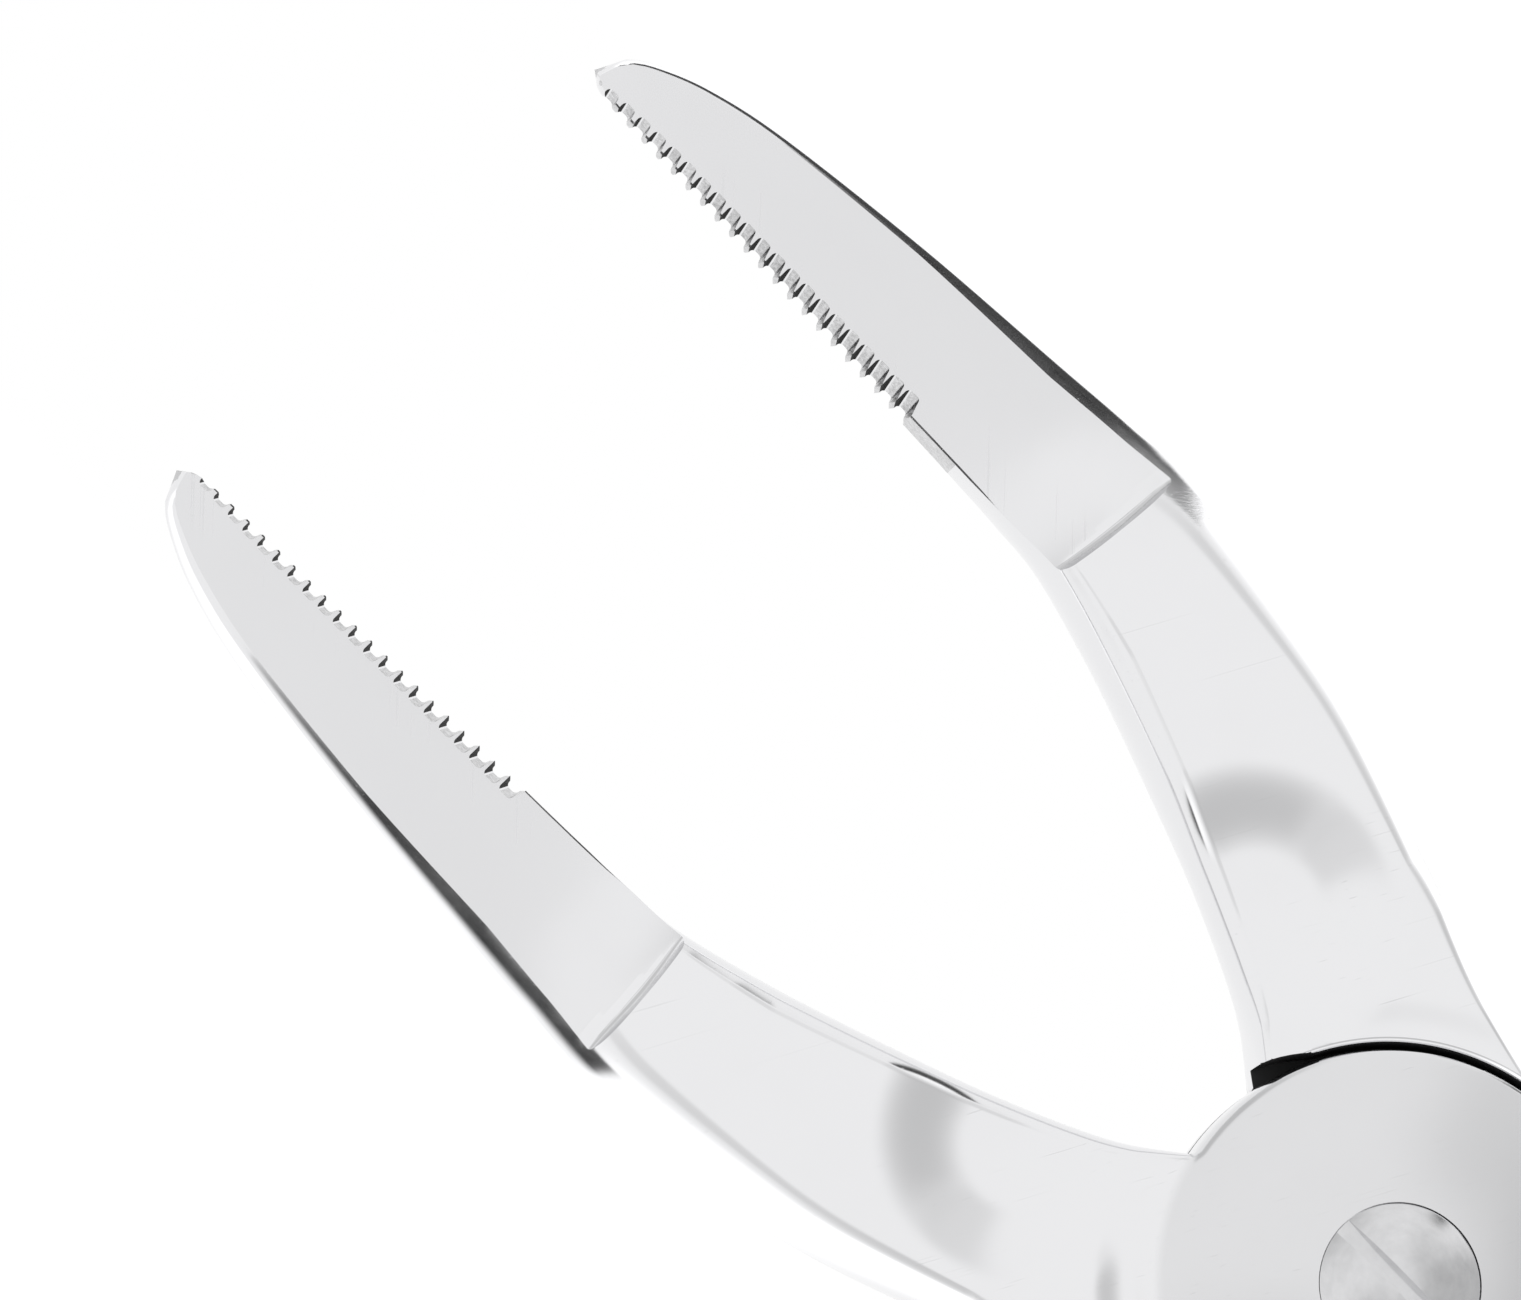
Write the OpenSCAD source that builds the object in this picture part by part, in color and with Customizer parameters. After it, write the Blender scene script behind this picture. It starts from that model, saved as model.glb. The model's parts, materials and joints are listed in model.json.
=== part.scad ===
// Spring-opened shell and nut cracker: two crossed polished levers, a half-lap screw joint,
// slender toothed jaws and a swing latch at the handle ends.
// X runs along the tool towards the jaw tips, Y across it, Z up. The origin is on the pivot
// axis, on the surface that the closed face of the pivot nut rests on.

/* [Levers] */
// Distance from the pivot axis to the jaw tips
jaw_reach = 80.3; // [76:0.1:88]
// Distance from the pivot axis to the handle ends
handle_reach = 117.6; // [108:0.1:128]
// Full thickness of the arms beside the joint
arm_thickness = 6; // [5.6:0.1:7]
// Full thickness of the handles
handle_thickness = 8.8; // [8.2:0.1:9]

/* [Jaws] */
// Number of grooves in each jaw's gripping edge
tooth_count = 22; // [8:1:22]
// Distance from one groove to the next
tooth_pitch = 1.2; // [1.1:0.05:1.2]
// Radius of one groove
tooth_radius = 0.42; // [0.36:0.01:0.45]
// Thickness of the blade at its toothed edge
edge_thickness = 2.1; // [1.8:0.1:2.2]
// Thickness of the blade at its spine
spine_thickness = 3.8; // [3.2:0.1:4]

/* [Joint] */
// Radius of the round boss of each lever
boss_radius = 13.6; // [13.2:0.1:13.8]
// Radius of the shoulder that the other lever's boss turns in
shoulder_radius = 14.4; // [14.2:0.1:15.2]
// Height of the boss's dome above the arm
dome_rise = 1.2; // [0.8:0.1:1.3]
// Radius of the screw's bearing shank
shank_radius = 3.5; // [3:0.1:3.8]
// Angle that the jaws close through
closing_angle = 22.8; // [18:0.1:22.8]

/* [Latch] */
// Thickness of the latch plate
latch_thickness = 1.2; // [1:0.1:1.6]
// Width of the latch plate
latch_width = 8; // [7:0.5:9]

/* [Hidden] */
$fn = 96;

// Heights, from the middle plane of the joint.
arm_half = arm_thickness / 2;
handle_half = handle_thickness / 2;
rest_height = handle_half;
ring_thickness = 0.36;
lap_gap = 0.4;
lap_face = lap_gap / 2;
dome_top = arm_half + dome_rise;
dome_sphere = (pow(boss_radius, 2) + pow(dome_rise, 2)) / (2 * dome_rise);
through = 40;

// The reach that the outlines below are drawn at, and where they start to stretch.
drawn_jaw = 80.3;
drawn_handle = 117.6;
root = 20;

// Edges of the jaw arm, from the boss to the tip and back.
jaw_inner = [
    [0, -4], [8, -1.6], [13.4, 2.9], [17.5, 5.6], [25, 9], [35, 12.6], [42.3, 14.6], [50, 15.55],
    [60, 15.75], [70, 16], [80, 16.3]
];
jaw_outer = [
    [80.3, 17], [78, 19], [75, 20.3], [70, 21.55], [60, 23.05], [50, 23.9], [45, 24.25], [39, 24.6],
    [30, 23.4], [24, 22], [16, 19], [8, 15.6], [0, 13.6]
];
// Edges of the handle, from the boss round the end and back.
handle_inner = [
    [0, 4], [-8, 1.6], [-13.4, -2.9], [-17.5, -5.6], [-28, -11.3], [-45, -18.6], [-65, -24.6],
    [-85, -28.9], [-105, -32.3], [-113, -33.9]
];
handle_outer = [
    [-117.2, -36.8], [-117.6, -41], [-112.6, -44.6], [-100, -42.9], [-80, -39.3], [-60, -34.9],
    [-42, -29.6], [-28, -23.6], [-16, -18.6], [-8, -15.6], [0, -13.6]
];
// Half thickness along the handle: thin at the joint, full from the grip on.
handle_swell = [-24, -44];

// Ground facet of the blade.
plunge_x = 41.6;
edge_y = 15.7;
spine_y = 23.2;
facet_angle = atan((spine_thickness - edge_thickness) / 2 / (spine_y - edge_y));

// Grooves: where the row starts, their slope from the blade's middle plane, and their depth.
first_tooth = 54;
tooth_lean = 30;
tooth_depth = 0.45;

// Hollow in each face of the jaw arm.
hollow_x = 20.5;
hollow_y = 9.5;
hollow_radius = 8.75;
hollow_depth = 0.6;
hollow_sphere = (pow(hollow_radius, 2) + pow(hollow_depth, 2)) / (2 * hollow_depth);

// Joint hardware.
running_clearance = 0.06;
screw_head_radius = 4.5;
screw_seat = arm_half;
screw_head_top = dome_top + 0.5;
thread_radius = 2.4;
nut_top = -arm_half;
washer_seat = -arm_half + 0.4;
nut_floor = 0.4;
counterbore_radius = screw_head_radius + 0.15;
slot_width = 1.1;
slot_depth = 0.8;

// Return spring in its pocket between the laps.
wire_radius = 0.6;
coil_radius = 6.25;
coil_turns = 2;
coil_pitch = 1.22;
coil_steps = 24;
wire_sides = 8;
pocket_inner = 5;
pocket_outer = 7.5;
pocket_depth = 1.75;
leg_end = 9.4;
leg_slot = 1.7;
leg_rise = coil_turns * coil_pitch / 2;

// Stop pin and the arc slot that it runs in.
stop_radius = 1;
stop_orbit = 11.2;
stop_angle = -100;
stop_reach = 1.4;
stop_play = 0.1;

// Thrust ring around the spring pocket.
ring_inner = 8;
ring_outer = 9.6;

// Latch, its rivet and the stud that it hooks on.
latch_x = -110.5 + drawn_handle - handle_reach;
latch_y = 39;
rivet_radius = 1.5;
rivet_head_radius = 3;
rivet_head = 0.8;
latch_lift = 0.2;
latch_base = handle_half + latch_lift;
latch_top = latch_base + latch_thickness;
latch_folded = 11.4;
notch_play = 0.35;
// Where the stud stands once the jaws are closed, seen from the front lever.
stud_bearing = 180 - atan2(latch_y, -latch_x) + closing_angle;
stud_orbit = norm([latch_x, latch_y]);
stud_closed = stud_orbit * [cos(stud_bearing), sin(stud_bearing)];
latch_length = norm(stud_closed - [latch_x, -latch_y]);

// One point of a smooth curve through b and c, with neighbours a and d, at t from 0 to 1.
function between(a, b, c, d, t) =
    0.5 * (2 * b + (c - a) * t + (2 * a - 5 * b + 4 * c - d) * t * t
    + (3 * b - a - 3 * c + d) * t * t * t);

// A smooth curve through all the points of a list, with steps points to each span.
function curve(p, steps = 4) = concat(
    [for (i = [0 : len(p) - 2]) for (k = [0 : steps - 1])
        between(p[max(i - 1, 0)], p[i], p[i + 1], p[min(i + 2, len(p) - 1)], k / steps)],
    [p[len(p) - 1]]
);

// An outline drawn at one reach, stretched along X to another beyond the root.
function stretched(p, drawn, wanted) = [
    for (q = p)
        abs(q.x) > root ? [sign(q.x) * (root + (abs(q.x) - root) * (wanted - root) / (drawn - root)), q.y] : q
];

// Height of the blade's gripping edge at a distance along the jaw.
function grip_edge(x) = 15.6 + (x - 50) * 0.023;

// A point of the return spring's helix: turns t from 0 to coil_turns, rising as it goes.
function helix(t) = [
    coil_radius * cos(360 * t), -coil_radius * sin(360 * t), t * coil_pitch - leg_rise
];

// Direction of travel at each point of a path.
function heading(path, i) =
    let (d = path[min(i + 1, len(path) - 1)] - path[max(i - 1, 0)]) d / norm(d);

// Rings of points around a path that never runs along Z.
function wire_rings(path) = [
    for (i = [0 : len(path) - 1])
        let (along = heading(path, i), side = cross(along, [0, 0, 1]) / norm(cross(along, [0, 0, 1])))
        let (up = cross(side, along))
        for (k = [0 : wire_sides - 1])
            path[i] + wire_radius * (side * cos(360 * k / wire_sides) + up * sin(360 * k / wire_sides))
];

// A round wire along a path.
module wire(path) {
    last = len(path) - 1;
    walls = [
        for (i = [0 : last - 1]) for (k = [0 : wire_sides - 1])
            let (n = (k + 1) % wire_sides)
            [i * wire_sides + k, (i + 1) * wire_sides + k, (i + 1) * wire_sides + n, i * wire_sides + n]
    ];
    start_cap = [for (k = [0 : wire_sides - 1]) k];
    end_cap = [for (k = [wire_sides - 1 : -1 : 0]) last * wire_sides + k];
    polyhedron(wire_rings(path), concat([start_cap, end_cap], walls), convexity = 4);
}

// The jaw arm and blade seen from above.
module jaw_plan() {
    polygon(stretched(concat(curve(jaw_inner), curve(jaw_outer)), drawn_jaw, jaw_reach));
}

// The handle seen from above.
module handle_plan() {
    polygon(stretched(curve(concat(handle_inner, handle_outer)), drawn_handle, handle_reach));
}

// The handle seen from the side: it swells from the arm's thickness to the grip's.
module handle_side() {
    far = -handle_reach - 1;
    polygon([
        [0, -arm_half], [0, arm_half], [handle_swell[0], arm_half], [handle_swell[1], handle_half],
        [far, handle_half], [far, -handle_half], [handle_swell[1], -handle_half],
        [handle_swell[0], -arm_half]
    ]);
}

// The waste that grinding takes off one face of the blade.
module facet_waste() {
    translate([plunge_x, edge_y, edge_thickness / 2])
        rotate([facet_angle, 0, 0])
            translate([0, -through / 2, 0])
                cube([jaw_reach, through, arm_thickness]);
}

// One groove of the gripping edge, cut from one face down to the middle plane.
module groove(x) {
    floor_y = grip_edge(x) + tooth_depth - tooth_radius;
    translate([x, floor_y, 0])
        rotate([-tooth_lean, 0, 0])
            cylinder(r = tooth_radius, h = arm_half, $fn = 24);
}

// The row of grooves, cut from both faces.
module grooves() {
    for (i = [0 : tooth_count - 1]) {
        x = first_tooth + i * tooth_pitch + jaw_reach - drawn_jaw;
        groove(x);
        mirror([0, 0, 1]) groove(x);
    }
}

// The shallow hollow in one face of the jaw arm.
module hollow() {
    translate([hollow_x, hollow_y, arm_half - hollow_depth + hollow_sphere])
        sphere(r = hollow_sphere, $fn = 96);
}

// The domed round boss, above the lap face.
module boss() {
    intersection() {
        translate([0, 0, lap_face])
            cylinder(r = boss_radius, h = dome_top - lap_face);
        translate([0, 0, dome_top - dome_sphere])
            sphere(r = dome_sphere, $fn = 128);
    }
}

// The forged blank that both levers start as: jaw on +Y, handle on -Y, boss on the upper side.
module lever_blank() {
    difference() {
        union() {
            linear_extrude(arm_thickness, center = true) jaw_plan();
            intersection() {
                linear_extrude(handle_thickness, center = true) handle_plan();
                rotate([90, 0, 0]) linear_extrude(2 * through * 2, center = true) handle_side();
            }
        }
        translate([0, 0, lap_face - through]) cylinder(r = shoulder_radius, h = through);
        facet_waste();
        mirror([0, 0, 1]) facet_waste();
        grooves();
        hollow();
        mirror([0, 0, 1]) hollow();
        translate([latch_x, -latch_y, 0])
            cylinder(r = rivet_radius, h = through, center = true, $fn = 48);
    }
    boss();
}

// The ring-shaped pocket for the return spring in the upper lap, and the slot for its leg.
module spring_pocket() {
    difference() {
        cylinder(r = pocket_outer, h = lap_face + pocket_depth);
        translate([0, 0, -1]) cylinder(r = pocket_inner, h = through);
    }
    translate([pocket_inner + 1, -leg_slot / 2, 0])
        cube([leg_end + 0.2 - pocket_inner, leg_slot, lap_face + pocket_depth]);
}

// The arc in the lower lap that the stop pin runs in as the jaws close.
module stop_slot() {
    width = 2 * (stop_radius + stop_play);
    translate([0, 0, -lap_face - stop_reach - stop_play]) {
        rotate([0, 0, stop_angle - closing_angle])
            rotate_extrude(angle = closing_angle)
                translate([stop_orbit - width / 2, 0]) square([width, through]);
        for (turn = [0, closing_angle])
            rotate([0, 0, stop_angle - turn])
                translate([stop_orbit, 0, 0]) cylinder(r = width / 2, h = through, $fn = 48);
    }
}

module front_lever() {
    color("gainsboro") difference() {
        lever_blank();
        cylinder(r = shank_radius, h = through, center = true);
        translate([0, 0, screw_seat]) cylinder(r = counterbore_radius, h = through);
        spring_pocket();
        rotate([0, 0, stop_angle])
            translate([stop_orbit, 0, 0])
                cylinder(r = stop_radius, h = lap_face + stop_reach, $fn = 48);
    }
}

module back_lever() {
    color("gainsboro") difference() {
        rotate([180, 0, 0]) lever_blank();
        cylinder(r = shank_radius + running_clearance, h = through, center = true);
        translate([0, 0, washer_seat - through]) cylinder(r = counterbore_radius, h = through);
        rotate([180, 0, 0]) spring_pocket();
        stop_slot();
    }
}

module pivot_screw() {
    head_rise = screw_head_top - dome_top;
    head_sphere = (pow(screw_head_radius, 2) + pow(head_rise, 2)) / (2 * head_rise);
    color("silver") difference() {
        union() {
            intersection() {
                translate([0, 0, screw_seat])
                    cylinder(r = screw_head_radius, h = screw_head_top - screw_seat);
                translate([0, 0, screw_head_top - head_sphere]) sphere(r = head_sphere, $fn = 128);
            }
            translate([0, 0, washer_seat])
                cylinder(r = shank_radius, h = screw_seat - washer_seat + 0.5);
            translate([0, 0, -rest_height + nut_floor])
                cylinder(r = thread_radius, h = rest_height - nut_floor, $fn = 64);
        }
        translate([-screw_head_radius, -slot_width / 2, screw_head_top - slot_depth])
            cube([2 * screw_head_radius, slot_width, 2]);
    }
}

module pivot_nut() {
    color("silver") difference() {
        translate([0, 0, -rest_height])
            cylinder(r = screw_head_radius, h = rest_height + nut_top);
        translate([0, 0, -rest_height + nut_floor])
            cylinder(r = thread_radius, h = through, $fn = 64);
    }
}

module spring_washer() {
    color("dimgray") translate([0, 0, nut_top]) difference() {
        cylinder(r = screw_head_radius - 0.2, h = washer_seat - nut_top - 0.05);
        translate([0, 0, -1]) cylinder(r = thread_radius + 0.1, h = 3, $fn = 64);
    }
}

module thrust_ring() {
    color("burlywood") difference() {
        cylinder(r = ring_outer, h = ring_thickness, center = true);
        cylinder(r = ring_inner, h = 1, center = true);
    }
}

// Two turns of wire with a straight leg out to each lever, bent from one path.
module return_spring() {
    bend = coil_radius + wire_radius;
    lower_leg = [[leg_end, 0, -leg_rise], [bend, 0, -leg_rise]];
    upper_leg = [[bend, 0, leg_rise], [leg_end, 0, leg_rise]];
    coil = [for (i = [1 : coil_turns * coil_steps - 1]) helix(i / coil_steps)];
    color("slategray") wire(concat(lower_leg, coil, upper_leg));
}

module stop_pin() {
    color("silver") rotate([0, 0, stop_angle])
        translate([stop_orbit, 0, -lap_face - stop_reach])
            cylinder(r = stop_radius, h = 2 * (lap_face + stop_reach), $fn = 48);
}

// A flat plate with a pivot hole at one end and a side notch for the stud at the other.
module latch() {
    notch = rivet_radius + notch_play;
    color("silver") translate([latch_x, -latch_y, latch_base])
        rotate([0, 0, latch_folded])
            difference() {
                union() {
                    cylinder(r = latch_width / 2, h = latch_thickness);
                    translate([latch_length, 0, 0]) cylinder(r = latch_width / 2, h = latch_thickness);
                    translate([0, -latch_width / 2, 0]) cube([latch_length, latch_width, latch_thickness]);
                }
                translate([0, 0, -1]) cylinder(r = rivet_radius + running_clearance, h = 4, $fn = 48);
                translate([latch_length, 0, -1]) cylinder(r = notch, h = 4, $fn = 48);
                translate([latch_length - notch, 0, -1]) cube([2 * notch, latch_width, 4]);
            }
}

module latch_washer() {
    color("dimgray") translate([latch_x, -latch_y, handle_half]) difference() {
        cylinder(r = rivet_head_radius, h = latch_lift - 0.03, $fn = 64);
        translate([0, 0, -1]) cylinder(r = rivet_radius, h = 3, $fn = 48);
    }
}

// A pin through the handle with a low domed head above the latch plate.
module headed_pin(head_base) {
    dome = (pow(rivet_head_radius, 2) + pow(rivet_head, 2)) / (2 * rivet_head);
    translate([0, 0, -handle_half])
        cylinder(r = rivet_radius, h = handle_half + head_base + 0.2, $fn = 48);
    intersection() {
        translate([0, 0, head_base]) cylinder(r = rivet_head_radius, h = rivet_head, $fn = 64);
        translate([0, 0, head_base + rivet_head - dome]) sphere(r = dome, $fn = 96);
    }
}

module latch_rivet() {
    color("silver") translate([latch_x, -latch_y, 0]) headed_pin(latch_top + 0.05);
}

module catch_stud() {
    color("silver") translate([latch_x, latch_y, 0]) headed_pin(latch_top + 0.3);
}

module standing() { translate([0, 0, rest_height]) children(); }

standing() front_lever();
standing() back_lever();
standing() pivot_screw();
standing() pivot_nut();
standing() spring_washer();
standing() thrust_ring();
standing() return_spring();
standing() stop_pin();
standing() latch();
standing() latch_washer();
standing() latch_rivet();
standing() catch_stud();
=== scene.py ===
"""Spring-opened shell and nut cracker: polished levers, ground jaws, joint hardware and latch."""
import json
import math

import bpy
import numpy as np
from mathutils import Matrix, Vector


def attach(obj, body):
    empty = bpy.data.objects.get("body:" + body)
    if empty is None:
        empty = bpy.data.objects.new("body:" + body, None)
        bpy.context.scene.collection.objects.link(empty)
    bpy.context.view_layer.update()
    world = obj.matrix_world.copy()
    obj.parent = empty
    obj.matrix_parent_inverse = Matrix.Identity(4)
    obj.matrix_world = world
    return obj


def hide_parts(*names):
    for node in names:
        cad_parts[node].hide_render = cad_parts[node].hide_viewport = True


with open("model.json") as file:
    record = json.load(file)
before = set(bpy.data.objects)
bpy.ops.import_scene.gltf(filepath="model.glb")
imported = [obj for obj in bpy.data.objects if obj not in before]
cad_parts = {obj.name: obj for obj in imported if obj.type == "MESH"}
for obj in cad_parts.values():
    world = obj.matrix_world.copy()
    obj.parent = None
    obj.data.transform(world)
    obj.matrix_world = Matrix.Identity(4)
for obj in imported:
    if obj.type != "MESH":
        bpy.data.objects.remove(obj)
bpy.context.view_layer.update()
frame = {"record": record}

MM = 0.001
JOINTS = {joint["name"]: joint for joint in frame["record"]["behaviour"]["joints"]}
PIVOT = np.array(JOINTS["jaw_hinge"]["pos_m"]) / MM
RIVET = np.array(JOINTS["latch_swing"]["pos_m"]) / MM
FRONT, BACK, LATCH = "front_lever_body", "back_lever_body", "latch_body"

# ---------------------------------------------------------------------------------------------
# Camera
# ---------------------------------------------------------------------------------------------
VIEW_WIDTH = 85.306      # mm across the view, in the joint's middle plane
PIVOT_RIGHT = 35.025     # mm from the middle of the view to the pivot
PIVOT_DOWN = 36.119
CAMERA_LEAN = 14.0       # degrees off the joint's axis, towards the front lever's jaw
CAMERA_ROLL = 45.75      # degrees that the tool's length is turned in the view
CAMERA_REACH = 900.0     # a long lens, well back


def make_camera():
    """Aims a long lens down on the open jaws, so that the pivot lands low on the right."""
    lean = math.radians(CAMERA_LEAN)
    roll = math.radians(CAMERA_ROLL)
    back = Vector((0, math.sin(lean), math.cos(lean)))
    along = Vector((1, 0, 0))
    across = back.cross(along)
    right = -along * math.cos(roll) - across * math.sin(roll)
    up = along * math.sin(roll) - across * math.cos(roll)
    target = Vector(PIVOT) - right * PIVOT_RIGHT + up * PIVOT_DOWN
    data = bpy.data.cameras.new("camera")
    data.sensor_width = 36.0
    data.lens = data.sensor_width * CAMERA_REACH / VIEW_WIDTH
    data.clip_start = 0.05
    data.clip_end = 20.0
    camera = bpy.data.objects.new("camera", data)
    bpy.context.collection.objects.link(camera)
    turn = Matrix((right, up, back)).transposed()
    camera.matrix_world = Matrix.Translation((target + back * CAMERA_REACH) * MM) @ turn.to_4x4()
    bpy.context.scene.camera = camera


make_camera()

# ---------------------------------------------------------------------------------------------
# Surfaces
# ---------------------------------------------------------------------------------------------


def curve(points, steps=24):
    """A smooth curve through all the points: a Catmull-Rom cubic over each span."""
    p = np.array(points, float)
    before = np.vstack([p[:1], p[:-2]])
    after = np.vstack([p[2:], p[-1:]])
    t = (np.arange(steps) / steps)[:, None, None]
    a, b, c, d = before, p[:-1], p[1:], after
    bend, twist = 2 * a - 5 * b + 4 * c - d, 3 * b - a - 3 * c + d
    cubic = 0.5 * (2 * b + (c - a) * t + bend * t**2 + twist * t**3)
    return np.vstack([cubic.transpose(1, 0, 2).reshape(-1, p.shape[1]), p[-1:]])


def respace(path, count):
    """The same path with its points at equal distances."""
    gone = np.concatenate([[0], np.cumsum(np.linalg.norm(np.diff(path, axis=0), axis=1))])
    at = np.linspace(0, gone[-1], count)
    return np.stack([np.interp(at, gone, path[:, k]) for k in range(path.shape[1])], axis=1)


def smooth_step(x, low, high):
    """Rises from 0 at low to 1 at high, level at both ends."""
    t = np.clip((x - low) / (high - low), 0, 1)
    return t * t * (3 - 2 * t)


def mesh_piece(name, points, faces):
    """A mesh object from points in millimetres above the rest plane."""
    mesh = bpy.data.meshes.new(name)
    mesh.from_pydata((np.asarray(points) * MM).tolist(), [], [list(map(int, f)) for f in faces])
    mesh.update()
    piece = bpy.data.objects.new(name, mesh)
    bpy.context.collection.objects.link(piece)
    return piece


def vertices(piece):
    """A piece's vertices as an array of rows, in metres."""
    flat = np.empty(len(piece.data.vertices) * 3)
    piece.data.vertices.foreach_get("co", flat)
    return flat.reshape(-1, 3)


def ring_faces(rings, around):
    """Quads between neighbouring closed rings of points, numbered ring by ring."""
    i = np.arange(rings - 1)[:, None] * around
    k = np.arange(around)[None, :]
    n = (k + 1) % around
    return np.stack([i + k, i + n, i + around + n, i + around + k], axis=-1).reshape(-1, 4)


def pole_faces(around, last, low, high):
    """Triangles that join the first ring to the low pole, and the ring that starts at the last
    number to the high pole."""
    k = np.arange(around)
    n = (k + 1) % around
    below = np.column_stack([np.full(around, low), n, k])
    above = np.column_stack([np.full(around, high), last + k, last + n])
    return np.stack([below, above], axis=1).reshape(-1, 3).tolist()


def revolve(name, profile, centre, sides=128):
    """Carries a profile of (radius, height) pairs round a vertical axis. The profile starts and
    ends on the axis, and runs from bottom to top, so the piece is closed."""
    profile = np.array(profile, float)
    angle = np.arange(sides) * 2 * math.pi / sides
    inner = profile[1:-1]
    x = inner[:, :1] * np.cos(angle) + centre[0]
    y = inner[:, :1] * np.sin(angle) + centre[1]
    z = np.repeat(inner[:, 1:] + centre[2], sides, axis=1)
    points = np.stack([x, y, z], axis=-1).reshape(-1, 3)
    poles = [[centre[0], centre[1], centre[2] + profile[k, 1]] for k in (0, -1)]
    rings = len(inner)
    count = rings * sides
    faces = ring_faces(rings, sides).tolist() + pole_faces(sides, count - sides, count, count + 1)
    return mesh_piece(name, np.vstack([points, poles]), faces)


def revolve_ring(name, profile, centre, sides=128):
    """Carries a closed profile of (radius, height) pairs, anticlockwise, round a vertical axis."""
    profile = np.array(profile, float)
    angle = np.arange(sides) * 2 * math.pi / sides
    x = profile[:, 0][None, :] * np.cos(angle)[:, None] + centre[0]
    y = profile[:, 0][None, :] * np.sin(angle)[:, None] + centre[1]
    z = np.repeat(profile[:, 1][None, :] + centre[2], sides, axis=0)
    points = np.stack([x, y, z], axis=-1).reshape(-1, 3)
    around = len(profile)
    last = (sides - 1) * around
    k = np.arange(around)
    n = (k + 1) % around
    closing = np.column_stack([k, n, last + n, last + k])
    faces = ring_faces(sides, around)[:, ::-1].tolist() + closing.tolist()
    return mesh_piece(name, points, faces)


def prism(name, outline, low, high):
    """An upright prism on an anticlockwise outline."""
    outline = np.array(outline, float)
    count = len(outline)
    floor = np.column_stack([outline, np.full(count, low)])
    roof = np.column_stack([outline, np.full(count, high)])
    faces = ring_faces(2, count).tolist()
    faces.append(list(range(count))[::-1])
    faces.append([count + k for k in range(count)])
    return mesh_piece(name, np.vstack([floor, roof]), faces)


def circle(radius, centre=(0, 0), start=0, end=360, sides=96):
    """Points round a circle, or along an arc of it when the ends aren't a full turn apart."""
    angle = np.radians(np.linspace(start, end, sides, endpoint=abs(end - start) < 360))
    return np.column_stack([centre[0] + radius * np.cos(angle), centre[1] + radius * np.sin(angle)])


def waste(name, points, faces, face):
    """The waste of a cut on the boss side, where face is 1, or on the shoulder side, where it is
    -1 and the same shape is turned over."""
    if face < 0:
        points = points * (1, 1, -1)
        faces = [f[::-1] for f in faces]
    return mesh_piece(name, points, faces)


def cut(piece, *tools):
    """Applies a piece's modifiers, takes the tools away from it, and deletes the tools."""
    for tool in tools:
        step = piece.modifiers.new("cut", "BOOLEAN")
        step.operation = "DIFFERENCE"
        step.solver = "MANIFOLD"
        step.object = tool
    graph = bpy.context.evaluated_depsgraph_get()
    whole = piece.evaluated_get(graph)
    made = bpy.data.meshes.new_from_object(whole, depsgraph=graph)
    piece.modifiers.clear()
    piece.data = made
    for tool in tools:
        bpy.data.objects.remove(tool)
    return piece


def shade(piece, crease=32):
    """Smooth shading, with a crisp edge wherever the surface turns by more than the crease."""
    mesh = piece.data
    mesh.polygons.foreach_set("use_smooth", np.ones(len(mesh.polygons), bool))
    mesh.set_sharp_from_angle(angle=math.radians(crease))
    mesh.update()
    return piece


# ---------------------------------------------------------------------------------------------
# Levers. Both are the same blank, drawn with its jaw on +Y and its boss on the upper side, about
# the middle plane of the joint. The back lever is the blank turned over.
# ---------------------------------------------------------------------------------------------
BOSS_RADIUS = 13.6
SHOULDER_RADIUS = 13.85  # of the other lever, round the boss
SHOULDER_DROP = 0.09     # how far the shoulder side eases down to the joint
RELIEF_AT = (5.9, 0)     # a round relief that opens the joint's gap towards the throat
RELIEF_RADIUS = 9.0
LIP_ROUND = 0.35
ARM_HALF = 3.0
HANDLE_HALF = 4.4
DOME_TOP = 4.2
DOME_SPHERE = 77.7       # radius of the boss's domed face
LAP_FACE = 0.2
SCREW_BORE = 3.5
BORE_CLEARANCE = 0.06
HEAD_SEAT = 4.65
SEAT_FLOOR = 2.6
STOP_TRACK = 11.2        # from the joint's axis to the stop pin
STOP_ANGLE = math.radians(-100)
STOP_AT = (STOP_TRACK * math.cos(STOP_ANGLE), STOP_TRACK * math.sin(STOP_ANGLE))
JAW_TRAVEL = 22.8        # degrees from open to shut

JAW_INNER = [
    (13.4, 2.9), (17.5, 5.6), (25, 9), (35, 12.65), (42, 14.65), (46, 15.12), (50, 15.34),
    (60, 15.57), (70, 15.8), (78, 15.99), (80.15, 16.45),
]
JAW_OUTER = [
    (80.15, 17.3), (79.4, 18.5), (78, 19.5), (75, 20.8), (70, 22), (60, 23.35), (50, 24.25),
    (45, 24.7), (39, 25), (30, 23.5), (24, 22), (16, 19), (8, 15.6), (0, 13.6),
]
HANDLE_INNER = [
    (-13.4, -2.9), (-17.5, -5.6), (-28, -11.3), (-45, -18.6), (-65, -24.6), (-85, -28.9), (-105, -32.3),
    (-113, -33.9), (-116.7, -36.4), (-117.6, -39.2),
]
HANDLE_OUTER = [
    (-117.6, -39.2), (-116.6, -42.3), (-112.6, -44.5), (-100, -42.9), (-80, -39.3), (-60, -34.9),
    (-42, -29.6), (-28, -23.6), (-16, -18.6), (-8, -15.6), (0, -13.6),
]
TIP = (80.15, 16.45)     # the end of the gripping edge
THROAT = (13.4, 2.9)     # where the gripping side meets the boss
BOSS_START = 12.2        # degrees round the boss to the throat
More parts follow.
